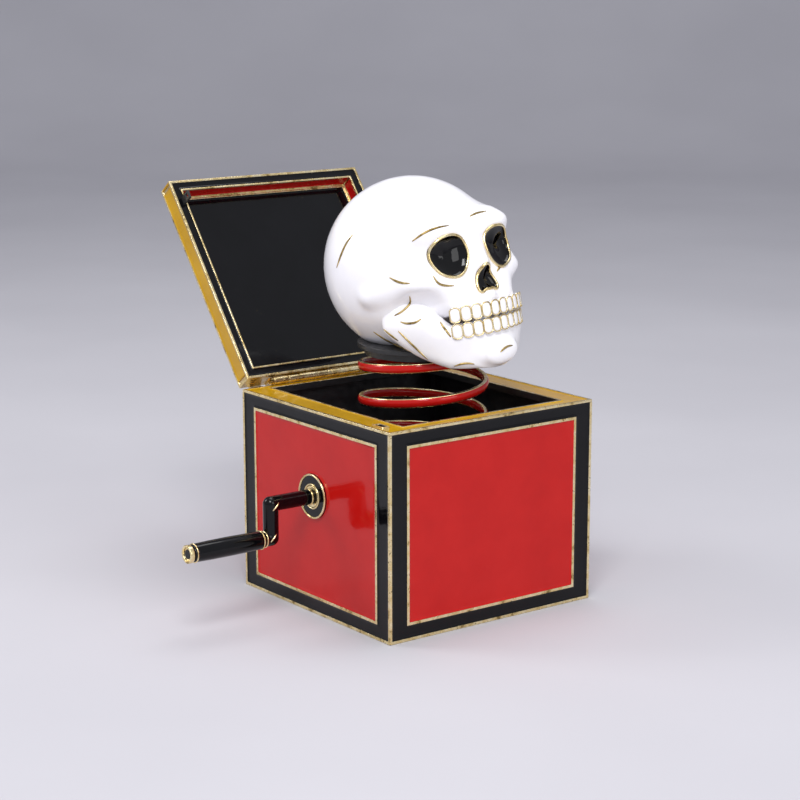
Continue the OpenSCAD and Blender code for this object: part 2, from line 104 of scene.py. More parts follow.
def noise(nt, src, scale, detail=3.0, rough=0.5):
    n = add(nt, "ShaderNodeTexNoise", Scale=scale, Detail=detail, Roughness=rough)
    nt.links.new(src, n.inputs["Vector"])
    return n.outputs["Fac"]


def ramp(nt, src, stops):
    r = add(nt, "ShaderNodeValToRGB")
    el = r.color_ramp.elements
    while len(el) < len(stops):
        el.new(0.5)
    for e, (p, c) in zip(el, stops):
        e.position = p
        e.color = (*c, 1) if len(c) == 3 else (c[0], c[0], c[0], 1)
    nt.links.new(src, r.inputs["Fac"])
    return r.outputs["Color"]


def bump(nt, bsdf, src, strength, dist, normal=None):
    b = add(nt, "ShaderNodeBump", Strength=strength, Distance=dist)
    nt.links.new(src, b.inputs["Height"])
    if normal is not None:
        nt.links.new(normal, b.inputs["Normal"])
    return b.outputs["Normal"]


def enamel(name, base, dark, light, rough=0.10, coat=0.38, peel=0.10, speck=None):
    """Poured enamel: a glossy coat, slow waviness, fine orange peel, faint clouding and a few trapped specks."""
    m, nt, p = new_mat(name)
    src = coords(nt)
    cloud = ramp(nt, noise(nt, src, 42, 4, 0.6), [(0.30, dark), (0.5, base), (0.74, light)])
    col = cloud
    if speck:
        v = add(nt, "ShaderNodeTexVoronoi", Scale=330.0)
        nt.links.new(src, v.inputs["Vector"])
        dot = ramp(nt, v.outputs["Distance"], [(0.03, (1,)), (0.07, (0,))])
        rare = ramp(nt, noise(nt, src, 95, 1), [(0.66, (0,)), (0.70, (1,))])
        mul = add(nt, "ShaderNodeMath", operation="MULTIPLY")
        nt.links.new(dot, mul.inputs[0])
        nt.links.new(rare, mul.inputs[1])
        mix = add(nt, "ShaderNodeMix", data_type="RGBA")
        nt.links.new(mul.outputs[0], mix.inputs[0])
        nt.links.new(cloud, mix.inputs[6])
        mix.inputs[7].default_value = (*speck, 1)
        col = mix.outputs[2]
    nt.links.new(col, p.inputs["Base Color"])
    r = ramp(nt, noise(nt, src, 160, 3), [(0.3, (rough * 0.8,)), (0.7, (rough * 1.6,))])
    nt.links.new(r, p.inputs["Roughness"])
    p.inputs["Coat Weight"].default_value = coat
    p.inputs["Specular IOR Level"].default_value = 0.16
    p.inputs["Coat Roughness"].default_value = 0.035
    n1 = bump(nt, p, noise(nt, src, 60, 2), peel, 0.0012)
    n2 = bump(nt, p, noise(nt, src, 900, 2), peel * 0.5, 0.00005, n1)
    nt.links.new(n2, p.inputs["Normal"])
    nt.links.new(n1, p.inputs["Coat Normal"])
    return m


def brass(name, bright=(0.93, 0.80, 0.50), mid=(0.80, 0.62, 0.29), dull=(0.30, 0.21, 0.075), rough=0.22, pits=True, wear=1.0):
    """Plated brass: cloudy tone, fine pits with dark bottoms, and soft unevenness along the lines."""
    m, nt, p = new_mat(name)
    src = coords(nt)
    tone = ramp(nt, noise(nt, src, 170, 5, 0.62), [(0.32, dull), (0.43, mid), (0.62, bright)])
    p.inputs["Metallic"].default_value = 1.0
    v = add(nt, "ShaderNodeTexVoronoi", Scale=620.0)
    nt.links.new(src, v.inputs["Vector"])
    pit = ramp(nt, v.outputs["Distance"], [(0.10, (1,)), (0.30, (0,))])
    rare = ramp(nt, noise(nt, src, 210, 2), [(0.50, (0,)), (0.60, (wear,))])
    mul = add(nt, "ShaderNodeMath", operation="MULTIPLY")
    nt.links.new(pit, mul.inputs[0])
    nt.links.new(rare, mul.inputs[1])
    mix = add(nt, "ShaderNodeMix", data_type="RGBA")
    nt.links.new(mul.outputs[0], mix.inputs[0])
    nt.links.new(tone, mix.inputs[6])
    mix.inputs[7].default_value = (0.10, 0.065, 0.02, 1)
    nt.links.new(mix.outputs[2], p.inputs["Base Color"])
    r = ramp(nt, noise(nt, src, 240, 4), [(0.3, (rough * 0.7,)), (0.7, (rough * 1.7,))])
    nt.links.new(r, p.inputs["Roughness"])
    n1 = bump(nt, p, noise(nt, src, 380, 4, 0.6), 0.35, 0.00022)
    inv = add(nt, "ShaderNodeMath", operation="MULTIPLY")
    inv.inputs[1].default_value = -1.0
    nt.links.new(mul.outputs[0], inv.inputs[0])
    n2 = bump(nt, p, inv.outputs[0], 0.6, 0.00030, n1)
    nt.links.new(n2, p.inputs["Normal"])
    return m


def steel(name, base=(0.55, 0.56, 0.58), rough=0.28, metallic=1.0):
    m, nt, p = new_mat(name)
    src = coords(nt)
    lo = tuple(c * 0.72 for c in base)
    nt.links.new(ramp(nt, noise(nt, src, 120, 5, 0.6), [(0.35, lo), (0.65, base)]), p.inputs["Base Color"])
    p.inputs["Metallic"].default_value = metallic
    nt.links.new(ramp(nt, noise(nt, src, 300, 4), [(0.3, (rough * 0.7,)), (0.7, (rough * 1.5,))]), p.inputs["Roughness"])
    nt.links.new(bump(nt, p, noise(nt, src, 1200, 3), 0.15, 0.00004), p.inputs["Normal"])
    return m


RED = enamel("enamel_red", (0.50, 0.0075, 0.0055), (0.47, 0.006, 0.0045), (0.53, 0.0095, 0.007), rough=0.12, coat=0.26, speck=(0.20, 0.004, 0.003))
BLACK = enamel("enamel_black", (0.0016, 0.0016, 0.0024), (0.0010, 0.0010, 0.0015), (0.0024, 0.0024, 0.0034), rough=0.08, coat=0.22, speck=(0.22, 0.17, 0.08))
MUSTARD = enamel("enamel_mustard", (0.52, 0.285, 0.006), (0.46, 0.245, 0.004), (0.58, 0.33, 0.010), rough=0.12, speck=(0.30, 0.16, 0.01))
WHITE = enamel("enamel_white", (0.93, 0.915, 0.945), (0.90, 0.885, 0.925), (0.95, 0.94, 0.955), rough=0.16, peel=0.05)
TOOTH = enamel("enamel_tooth", (0.93, 0.915, 0.93), (0.88, 0.86, 0.88), (0.95, 0.94, 0.95), rough=0.14, peel=0.05)
SOCKET = enamel("socket_gloss", (0.0016, 0.0014, 0.0018), (0.0010, 0.0010, 0.0012), (0.0026, 0.0020, 0.0026), rough=0.06, coat=0.3)
BRASS = brass("brass_lines")
BRASS_FINE = brass("brass_fine", rough=0.20, wear=0.6)
BRASS_PLAIN = brass("brass_plain", rough=0.30, wear=0.35)
BRASS_DARK = brass("brass_dark", bright=(0.66, 0.50, 0.22), mid=(0.36, 0.25, 0.08), dull=(0.10, 0.07, 0.025), rough=0.3)
STEEL = steel("steel")
BLACK_STEEL = steel("black_steel", base=(0.030, 0.030, 0.032), rough=0.34, metallic=0.2)
# near-black matte paint for the inside of the box and the underside of the top frame: painted shade
WELL_SHADE = steel("well_painted_shade", base=(0.010, 0.010, 0.012), rough=0.40, metallic=0.0)


# ------------------------------------------------------------------ mesh helpers
def obj_from(name, verts, faces, mat, smooth=True, recalc=True):
    me = bpy.data.meshes.new(name)
    me.from_pydata([tuple(map(float, v)) for v in verts], [], [tuple(int(i) for i in f) for f in faces])
    if recalc:
        bm = bmesh.new()
        bm.from_mesh(me)
        bmesh.ops.recalc_face_normals(bm, faces=bm.faces)
        bm.to_mesh(me)
        bm.free()
    for p in me.polygons:
        p.use_smooth = smooth
    o = bpy.data.objects.new(name, me)
    bpy.context.scene.collection.objects.link(o)
    o.data.materials.append(mat)
    return o


def join(name, parts, mat):
    """One mesh object from several (verts, faces)."""
    vs, fs, n = [], [], 0
    for v, f in parts:
        vs += list(v)
        fs += [tuple(i + n for i in q) for q in f]
        n += len(v)
    return obj_from(name, vs, fs, mat)


def rrect(a0, a1, b0, b1, r, nc=5, ns=16):
    """A rounded rectangle, anticlockwise, always with the same number of points."""
    r = max(min(r, (a1 - a0) / 2 - 1e-3, (b1 - b0) / 2 - 1e-3), 1e-3)
    pts = []
    for cx, cy, t0 in ((a1 - r, b1 - r, 0), (a0 + r, b1 - r, 90), (a0 + r, b0 + r, 180), (a1 - r, b0 + r, 270)):
        for k in range(nc + 1):
            t = math.radians(t0 + 90 * k / nc)
            pts.append((cx + r * math.cos(t), cy + r * math.sin(t)))
    out = []
    for i, p in enumerate(pts):
        out.append(p)
        if i % (nc + 1) == nc:
            q = pts[(i + 1) % len(pts)]
            out += [(p[0] + (q[0] - p[0]) * s / ns, p[1] + (q[1] - p[1]) * s / ns) for s in range(1, ns)]
    return out


MENISCUS = [(0.0, -0.10), (0.15, -0.20), (0.35, -0.31), (0.65, -0.42), (1.05, -0.50), (1.6, -0.545), (2.3, -0.56)]
DEPTH = 1.38


def pour(a0, a1, b0, b1, hole=None, r=0.8, depth=DEPTH, men=MENISCUS, scale=1.0, gap=0.02):
    """Enamel filling a rectangular cell, with a raised meniscus along the lines. hole is an inner rectangle (a0, a1, b0, b1) or a circle (a, b, radius).
    Returns loops of (a, b, height), from the outer foot to the inner foot or the middle."""
    loops = []
    g = gap
    loops.append([(a, b, -depth) for a, b in rrect(a0 + g, a1 - g, b0 + g, b1 - g, r)])
    for d, h in men:
        d *= scale
        loops.append([(a, b, h) for a, b in rrect(a0 + g + d, a1 - g - d, b0 + g + d, b1 - g - d, r + d * 0.8)])
    if hole and len(hole) == 4:
        c0, c1, e0, e1 = hole
        for d, h in reversed(men):
            d *= scale
            loops.append([(a, b, h) for a, b in rrect(c0 - g - d, c1 + g + d, e0 - g - d, e1 + g + d, r + d)])
        loops.append([(a, b, -depth) for a, b in rrect(c0 - g, c1 + g, e0 - g, e1 + g, r)])
    elif hole:
        ca, cb, rad = hole
        n = len(loops[0])
        angs = [math.atan2(b - cb, a - ca) for a, b, _ in loops[-1]]
        for d, h in reversed(men):
            d *= scale
            loops.append([(ca + (rad + g + d) * math.cos(t), cb + (rad + g + d) * math.sin(t), h) for t in angs])
        loops.append([(ca + (rad + g) * math.cos(t), cb + (rad + g) * math.sin(t), -depth) for t in angs])
    else:
        mid_a, mid_b = (a0 + a1) / 2, (b0 + b1) / 2
        last = loops[-1]
        for s in (0.7, 0.35):
            loops.append([(mid_a + (a - mid_a) * s, mid_b + (b - mid_b) * s, h) for a, b, h in last])
    return loops, bool(hole)


def loft(loops, ring, place):
    n = len(loops[0])
    verts = [place(*p) for lp in loops for p in lp]
    faces = []
    for i in range(len(loops) - 1):
        for k in range(n):
            k2 = (k + 1) % n
            faces.append((i * n + k, i * n + k2, (i + 1) * n + k2, (i + 1) * n + k))
    if ring:
        i = len(loops) - 1
        for k in range(n):
            k2 = (k + 1) % n
            faces.append((i * n + k, i * n + k2, k2, k))
    else:
        c = len(verts)
        verts.append(place(sum(p[0] for p in loops[-1]) / n, sum(p[1] for p in loops[-1]) / n, loops[-1][0][2]))
        i = len(loops) - 1
        for k in range(n):
            faces.append((i * n + k, i * n + (k + 1) % n, c))
        faces.append(tuple(reversed(range(n))))
    return verts, faces


def place_side(k):
    """(a, b, h) on side k of the box: 0 front, 1 right, 2 back, 3 left; h is outward from the tops of the lines."""
    ang = math.radians(90 * k)
    c, s = math.cos(ang), math.sin(ang)

    def f(a, b, h):
        x, y = a, -(H + h)
        return ((c * x - s * y) * MM, (s * x + c * y) * MM, b * MM)
    return f


def place_top(a, b, h):
    return (a * MM, b * MM, (TOP + h) * MM)


CO, SO = math.cos(-OPEN), math.sin(-OPEN)


def lid_pt(x, y, z):
    """From the closed lid to the open one, in metres."""
    y, z = y - HY, z - HZ
    return (x * MM, (y * CO - z * SO + HY) * MM, (y * SO + z * CO + HZ) * MM)


def rides(o, body, node=None):
    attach(o, body)
    if node:
        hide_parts(node)
    return o


# ------------------------------------------------------------------ enamel on the box
SIDES = ["front", "right", "back", "left"]
for k, side in enumerate(SIDES):
    loops, ring = pour(-68.4, 68.4, 1.6, 113.4, hole=(-58.5, 58.5, 8.5, 106.5))
    o = obj_from(f"{side}_border_fill", *loft(loops, ring, place_side(k)), BLACK)
    rides(o, "box", f"{side}_border")
    hole = (0.0, CRZ, 12.5) if side == "left" else None
    loops, ring = pour(-56.9, 56.9, 10.1, 104.9, hole=hole, r=1.0)
    o = obj_from(f"{side}_panel_fill", *loft(loops, ring, place_side(k)), RED)
    rides(o, "box", f"{side}_panel")

loops, ring = pour(-68.4, 68.4, -68.4, 68.4, hole=(-55.6, 55.6, -62.1, 65.1), r=0.6, depth=0.98, scale=0.62)
top_fill = obj_from("top_fill", *loft(loops, ring, place_top), MUSTARD)


def carve(o, lo, hi):
    """Cut a box (mm) out of an object's mesh."""
    vs = [(x * MM, y * MM, z * MM) for x in (lo[0], hi[0]) for y in (lo[1], hi[1]) for z in (lo[2], hi[2])]
    fs = [(0, 1, 3, 2), (4, 6, 7, 5), (0, 4, 5, 1), (2, 3, 7, 6), (0, 2, 6, 4), (1, 5, 7, 3)]
    cutter = obj_from("cutter", vs, fs, BRASS, smooth=False)
    m = o.modifiers.new("cut", "BOOLEAN")
    m.object, m.operation, m.solver = cutter, "DIFFERENCE", "EXACT"
    bpy.context.view_layer.update()
    me = bpy.data.meshes.new_from_object(o.evaluated_get(bpy.context.evaluated_depsgraph_get()))
    o.modifiers.clear()
    while len(me.materials) > 1:
        me.materials.pop()
    for p in me.polygons:
        p.material_index = 0
    o.data = me
    bpy.data.objects.remove(cutter)


carve(top_fill, (-64.55, -56.75, 110), (-60.05, -47.85, 120))
rides(top_fill, "box", "top_enamel")

# ------------------------------------------------------------------ enamel on the lid
RIM = 7.0
loops, ring = pour(-LW + 1.6, LW - 1.6, LY0 + 1.6, LY1 - 1.6, hole=(-LW + RIM - 1.2, LW - RIM + 1.2, LY0 + RIM - 1.2, LY1 - RIM + 1.2), r=0.6, depth=0.98, scale=0.8)
rim_fill = obj_from("lid_rim_fill", *loft(loops, ring, lambda a, b, h: lid_pt(a, b, ZB - h)), BLACK)
rides(rim_fill, "lid", "lid_rim_enamel")
loops, ring = pour(-58.6, 58.6, -58.1, 58.1, r=0.8, depth=0.78, scale=0.9)
o = obj_from("lid_floor_fill", *loft(loops, ring, lambda a, b, h: lid_pt(a, b, ZB + 9 - h)), BLACK)
rides(o, "lid", "lid_floor_enamel")


def lid_wall(k, half, z0, z1, dist, inward, depth, scale):
    """One strip of enamel on a side wall of the lid; k as for the box sides, measured on the closed lid."""
    ang = math.radians(90 * k)
    c, s = math.cos(ang), math.sin(ang)

    def f(a, b, h):
        y = -(dist + (-h if inward else h))
        x = a
        return lid_pt(c * x - s * y, s * x + c * y, b)
    return loft(*pour(-half, half, z0, z1, r=0.4, depth=depth, scale=scale), f)


parts = [lid_wall(k, (59.5, 59.0)[k % 2], ZB + 1.2, ZB + 7.8, (59.5, 60.0)[k % 2], True, 0.86, 0.7) for k in range(4)]
rides(join("lid_lining_fill", parts, RED), "lid", "lid_lining")
parts = [lid_wall(k, {0: 66.9, 1: 63.0, 3: 63.0}[k], ZB + 1.3, ZT - 1.3, (66.5, 67.0)[k % 2], False, 0.86, 0.8) for k in (0, 1, 3)]
rides(join("lid_side_fill", parts, MUSTARD), "lid", "lid_side_enamel")
loops, ring = pour(-LW + 1.6, LW - 1.6, LY0 + 1.6, LY1 - 1.6, hole=(-55.5, 55.5, -55.0, 55.0), r=0.6, depth=0.78, scale=0.9)
rides(obj_from("lid_top_border_fill", *loft(loops, ring, lambda a, b, h: lid_pt(a, b, ZT + h)), BLACK), "lid", "lid_top_border")
loops, ring = pour(-53.9, 53.9, -53.4, 53.4, r=0.8, depth=0.78, scale=0.9)
rides(obj_from("lid_top_panel_fill", *loft(loops, ring, lambda a, b, h: lid_pt(a, b, ZT + h)), RED), "lid", "lid_top_panel")


# ------------------------------------------------------------------ sweeps
def sweep(path, section, closed=False, caps=True, up=None, cut=None):
    """A closed section [(u, v)] in mm swept along path points in mm; u is along `up`'s cross, v along up. section may be a function of the step."""
    P = np.array(path, float)
    n = len(P)
    if closed:
        T = np.roll(P, -1, 0) - np.roll(P, 1, 0)
    else:
        T = np.gradient(P, axis=0)
    T /= np.linalg.norm(T, axis=1)[:, None]
    verts, faces = [], []
    if up is None:
        u = np.cross(T[0], [0.3, 0.5, 0.81])
        u /= np.linalg.norm(u)
    for i in range(n):
        if up is None:
            u = u - T[i] * (u @ T[i])
            u /= np.linalg.norm(u)
            U, V = u, np.cross(T[i], u)
        else:
            upv = up(i) if callable(up) else np.array(up, float)
            U = np.cross(upv, T[i])
            U /= np.linalg.norm(U)
            V = np.cross(T[i], U)
        sec = section(i) if callable(section) else section
        m = len(sec)
        for a, b in sec:
            verts.append((P[i] + U * a + V * b) * MM)
    for i in range(n if closed else n - 1):
        j = (i + 1) % n
        for k in range(m):
            k2 = (k + 1) % m
            faces.append((i * m + k, i * m + k2, j * m + k2, j * m + k))
    if caps and not closed:
        faces.append(tuple(range(m - 1, -1, -1)))
        faces.append(tuple((n - 1) * m + k for k in range(m)))
    return verts, faces


def circle(r, n=16, ry=None):
    ry = r if ry is None else ry
    return [(r * math.cos(2 * math.pi * k / n), ry * math.sin(2 * math.pi * k / n)) for k in range(n)]


def ring_x(x, y, z, r, t, n=72, nt=12):
    """A thin round ring about the X axis."""
    return sweep([(x, y + r * math.cos(2 * math.pi * k / n), z + r * math.sin(2 * math.pi * k / n)) for k in range(n)], circle(t, nt), closed=True)


def lathe_x(profile, y, z, n=96):
    """profile: closed outline as (x, radius)."""
    verts, faces = [], []
    m = len(profile)
    for k in range(n):
        t = 2 * math.pi * k / n
        for x, r in profile:
            verts.append((x * MM, (y + r * math.cos(t)) * MM, (z + r * math.sin(t)) * MM))
    for k in range(n):
        k2 = (k + 1) % n
        for i in range(m):
            i2 = (i + 1) % m
            faces.append((k * m + i, k * m + i2, k2 * m + i2, k2 * m + i))
    return verts, faces


def rounded(pts, r, n=5):
    """A closed outline with every corner rounded by up to r."""
    out = []
    m = len(pts)
    for i in range(m):
        a, b, c = (np.array(pts[j % m], float) for j in (i - 1, i, i + 1))
        ba, bc = a - b, c - b
        la, lc = np.linalg.norm(ba), np.linalg.norm(bc)
        d = min(r, la * 0.45, lc * 0.45)
        p, q = b + ba / la * d, b + bc / lc * d
        for k in range(n + 1):
            s = k / n
            out.append(tuple((1 - s) ** 2 * p + 2 * s * (1 - s) * b + s * s * q))
    return out


# ------------------------------------------------------------------ crank
def elbow_path(pts, r, n=10):
    out = [np.array(pts[0], float)]
    for i in range(1, len(pts) - 1):
        a, b, c = (np.array(pts[j], float) for j in (i - 1, i, i + 1))
        p, q = b + (a - b) / np.linalg.norm(a - b) * r, b + (c - b) / np.linalg.norm(c - b) * r
        for k in range(n + 1):
            s = k / n
            out.append((1 - s) ** 2 * p + 2 * s * (1 - s) * b + s * s * q)
    out.append(np.array(pts[-1], float))
    fine = [out[0]]
    for a, b in zip(out, out[1:]):
        k = max(1, int(np.linalg.norm(b - a) / 1.0))
        fine += [a + (b - a) * (j + 1) / k for j in range(k)]
    return fine


rod = elbow_path([(-71.75, 0, CRZ), (EX, 0, CRZ), (EX, 0, EZ), (EX - 5.0, 0, EZ)], 4.3)
parts = [sweep(rod, circle(4.2, 28))]
parts.append(lathe_x(rounded([(-149.9, 0.01), (-149.9, 2.45), (-100, 2.45), (-100, 0.01)], 0.2), 0, EZ, 40))
crank_rod = join("crank_rod_bar", parts, BLACK)
rides(crank_rod, "crank", None)
bands = [ring_x(-73.2, 0, CRZ, 4.2, 0.55), ring_x(EX - 4.6, 0, EZ, 4.2, 0.5)]


def mitre_ring(cx, cz, sx, sz):
    """A brass line round the bar across an elbow."""
    pts = []
    for k in range(72):
        t = 2 * math.pi * k / 72
        y = 4.25 * math.cos(t)
        d = 4.25 * math.sin(t)
        pts.append((cx + sx * d * 0.86, y, cz + sz * d * 0.86))
    return sweep(pts, circle(0.5, 10), closed=True)


bands += [mitre_ring(EX + 0.9, CRZ - 0.9, 1, 1), mitre_ring(EX - 0.9, EZ + 0.9, 1, 1)]
rides(join("crank_bands", bands, BRASS_FINE), "crank", None)
x0, x1 = -148.4, -103.4
prof = rounded([(x0, 2.6), (x0, 4.6), (x0 + 2, 5.0), (x0 + 12, 5.25), (x0 + 24, 5.3), (x1 - 12, 5.15), (x1 - 2, 4.95), (x1, 4.6), (x1, 2.6)], 0.8)
o = obj_from("grip_barrel", *lathe_x(prof, 0, EZ), BLACK)
rides(o, "grip", "grip_sleeve")
rides(join("grip_lines", [ring_x(x0 + 1.6, 0, EZ, 4.95, 0.42), ring_x(x1 - 1.6, 0, EZ, 4.9, 0.42)], BRASS_FINE), "grip", None)
prof = rounded([(-151.2, 5.0), (-151.2, 3.7), (-149.9, 3.4), (-149.9, 2.55), (-148.8, 2.55), (-148.8, 5.0)], 0.35)
rides(obj_from("grip_end_ring", *lathe_x(prof, 0, EZ), BRASS_FINE), "crank", "grip_cap")
prof = rounded([(-69.95, 7.0), (-69.95, 12.3), (-71.0, 12.3), (-71.3, 11.9), (-71.3, 11.5), (-70.75, 11.2), (-70.75, 7.5), (-71.3, 7.2), (-71.3, 6.6), (-69.95, 6.3)], 0.25)
esc = obj_from("hub_disc", *lathe_x([(x, r) for x, r in rounded([(-68.7, 6.1), (-68.7, 12.35), (-70.8, 12.35), (-70.9, 11.4), (-70.95, 7.2), (-70.8, 6.1)], 0.25)], 0, CRZ), BLACK)
rides(esc, "box", "crank_escutcheon")
rides(join("hub_lines", [ring_x(-70.9, 0, CRZ, 12.0, 0.62), ring_x(-71.05, 0, CRZ, 6.7, 0.5)], BRASS_FINE), "box", None)

# ------------------------------------------------------------------ spring
z0, z1 = 4.05 + 2.7, PLATE_Z - 0.06 - 2.7
TURNS = 7.0
n = int(TURNS * (110))
path, ths = [], []
for i in range(n + 1):
    s = i / n
    th = math.radians(-62) + 2 * math.pi * TURNS * s
    z = z0 + (z1 - z0) * s
    path.append((SPX + 35 * math.cos(th), SPY + 35 * math.sin(th), z))
core = [(1.78 * math.cos(t) * (1 if abs(math.cos(t)) < 0.8 else 0.96), 2.5 * math.sin(t)) for t in np.linspace(0, 2 * math.pi, 20, endpoint=False)]
o = obj_from("spring_core", *sweep(path, core, up=(0, 0, 1)), RED)
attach(o, "box")
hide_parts("coil_spring")
rail = [sweep([(x, y, z + dz) for x, y, z in path], circle(1.0, 12, 0.62), up=(0, 0, 1)) for dz in (2.05, -2.05)]
o2 = join("spring_rails", rail, BRASS_FINE)
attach(o2, "box")
for s in (o, o2):
    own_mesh(s)

# ------------------------------------------------------------------ skull
# Signed distances in head coordinates, mm: x across, y backward, z up.
def rot(yaw, pitch, roll):
    cz, sz, cx, sx, cy, sy = math.cos(yaw), math.sin(yaw), math.cos(-pitch), math.sin(-pitch), math.cos(-roll), math.sin(-roll)
    return (np.array([[cz, -sz, 0], [sz, cz, 0], [0, 0, 1]]) @ np.array([[1, 0, 0], [0, cx, -sx], [0, sx, cx]])
            @ np.array([[cy, 0, sy], [0, 1, 0], [-sy, 0, cy]]))


HR = rot(YAW, PITCH, ROLL)


def to_world(p):
    return np.asarray(p, float) @ HR.T + SKC


def length(p):
    return np.sqrt((p * p).sum(-1))


def ell(p, c, r):
    q = p - np.array(c, float)
    r = np.array(r, float)
    k0, k1 = length(q / r), length(q / (r * r))
    return k0 * (k0 - 1) / np.maximum(k1, 1e-9)


def cap(p, a, b, r, r2):
    a, b = np.array(a, float), np.array(b, float)
    pa, ba = p - a, b - a
    h = np.clip((pa @ ba) / (ba @ ba), 0, 1)
    return length(pa - h[..., None] * ba) - (r + (r2 - r) * h)


def smin(a, b, k):
    h = np.maximum(k - np.abs(a - b), 0) / k
    return np.minimum(a, b) - h * h * k * 0.25


def smax(a, b, k):
    return -smin(-a, -b, k)


def poly2(px, py, pts):
    """Signed distance to a polygon, negative inside."""
    pts = np.array(pts, float)
    d, s = np.full(px.shape, 1e9), np.ones(px.shape)
    for i in range(len(pts)):
        a, b = pts[i], pts[i - 1]
        e = b - a
        wx, wy = px - a[0], py - a[1]
        t = np.clip((wx * e[0] + wy * e[1]) / (e @ e), 0, 1)
        d = np.minimum(d, (wx - e[0] * t) ** 2 + (wy - e[1] * t) ** 2)
        c1, c2, c3 = py >= a[1], py < b[1], e[0] * wy > e[1] * wx
        s = np.where((c1 & c2 & c3) | (~c1 & ~c2 & ~c3), -s, s)
    return s * np.sqrt(d)


def sstep(x, a, b):
    t = np.clip((x - a) / (b - a), 0, 1)
    return t * t * (3 - 2 * t)


EYE = [(-11.3, -1.5), (-9.9, -4.3), (-8.1, -6.5), (-5.9, -8.1), (-3.6, -9.0), (-1.2, -9.3), (1.1, -9.0), (3.4, -8.4), (5.7, -7.5), (7.8, -6.2),
       (9.4, -4.0), (10.4, -1.4), (10.8, 1.5), (10.0, 4.4), (8.3, 6.6), (6.1, 8.2), (3.7, 9.1), (1.2, 9.5), (-1.3, 9.6), (-4.0, 9.4), (-6.9, 8.6),
       (-9.6, 7.2), (-11.4, 4.7), (-11.9, 1.6)]
EYE_C = (19.6, 3.9)
NOSE_H = [(0, -3.2), (2.2, -4.2), (4.9, -8.4), (6.9, -12.6), (7.5, -15.8), (6.6, -17.5), (4.8, -17.7), (2.6, -16.7), (0, -16.9)]


def smooth_loop(pts, n):
    """A closed Catmull-Rom curve through pts, evenly resampled."""
    P = np.array(pts, float)
    m = len(P)
    out = []
    for i in range(m):
        a, b, c, d = P[i - 1], P[i], P[(i + 1) % m], P[(i + 2) % m]
        for t in np.linspace(0, 1, 12, endpoint=False):
            out.append(0.5 * (2 * b + (c - a) * t + (2 * a - 5 * b + 4 * c - d) * t * t + (3 * b - a - 3 * c + d) * t ** 3))
    out = np.array(out)
    seg = np.linalg.norm(np.roll(out, -1, 0) - out, axis=1)
    s = np.concatenate([[0], np.cumsum(seg)])
    o2 = np.vstack([out, out[:1]])
    q = np.linspace(0, s[-1], n, endpoint=False)
    return np.stack([np.interp(q, s, o2[:, k]) for k in range(out.shape[1])], -1)


EYE_L = smooth_loop([(EYE_C[0] + a * 1.04, EYE_C[1] + b * 1.2) for a, b in EYE], 64)
NOSE_L = smooth_loop(NOSE_H + [(-a, b) for a, b in NOSE_H[-2:0:-1]], 64)
SIDE_P = [(8, 29), (40, 28), (46.5, 21), (47.0, 14), (46.0, 8), (48.0, 1), (50.5, -7), (55, -15), (59, -23), (59, -31), (8, -31)]
FRONT_P = [(30, 28), (37, 20), (40.5, 8), (40.5, -3), (34, -14), (28.5, -21), (26.5, -31)]
FRONT_P = FRONT_P + [(-a, b) for a, b in FRONT_P[::-1]]
ARCH_C, ARCH_R = 16.9, 43.1


def skull_raw(p):
    q = p.copy()
    q[..., 0] = np.abs(q[..., 0])
    L, F, U = p[..., 0], -p[..., 1], p[..., 2]
    ball = length(p) - 49.4
    arch = np.sqrt(L * L + np.maximum(F - ARCH_C, 0) ** 2) - (ARCH_R - 0.4)
    mask = smax(smax(poly2(F, U, SIDE_P) + 4.0, arch + 4.0, 9), poly2(L, U, FRONT_P) + 4.0, 12) - 4.0
    d = smin(ball, mask, 9)
    d = smin(d, ell(q, (19, -40.5, 17.5), (15, 8.5, 4.6)), 7)           # brow ridges
    d = smin(d, ell(q, (32, -34.5, -8.5), (9.5, 11.5, 6.5)), 8)         # cheek bones
    d = smin(d, cap(q, (34, -29, -9), (45.5, -9, -11), 3.8, 3.0), 7)    # arches running back
    d = smin(d, cap(q, (0, -46, 12), (0, -52.5, -2.5), 3.0, 3.8), 7)    # bridge of the nose
    d = smin(d, ell(q, (0, -52.5, -20.2), (3.0, 5.0, 2.6)), 4)          # spine under the nose
    d = smax(d, -ell(q, (54, -29, 17), (9, 17, 14)), 10)                # temples
    d = smax(d, -ell(q, (40.5, -42, -24), (9, 14, 9.5)), 8)             # under the cheeks
    return d


def front_f(L, U, f):
    """How far forward the surface f is at (L, U)."""
    L, U = np.asarray(L, float), np.asarray(U, float)
    t = np.full(L.shape, 90.0)
    for _ in range(60):
        t = t - np.clip(f(np.stack([L, -t, U], -1)), -5, 20) * 0.9
    return t


def skull_sdf(p):
    d = skull_raw(p)
    F, U = -p[..., 1], p[..., 2]
    o = poly2(np.abs(p[..., 0]), U, EYE_L[::2])
    o2 = poly2(p[..., 0], U, NOSE_L[::2])
    near = (F > 25) & (np.minimum(o, o2) < 6)
    cut = np.full(d.shape, 50.0)
    cut[near] = np.minimum(np.maximum(o[near] - 0.1, 37.0 - F[near]), np.maximum(o2[near] - 0.1, 42.0 - F[near]))
    d = smax(d, -cut, 1.6)
    # flat where the mounting plate bears
    return np.maximum(d, 146.03 - (p @ HR.T + SKC)[..., 2])


JAW_P = [(7, -12), (17, -10), (25, -12.5), (35, -19), (43, -27), (46, -31.7), (58, -31.7), (60.2, -41), (59.6, -50), (53, -59.3), (41, -56.3), (29, -48.5), (11, -33)]


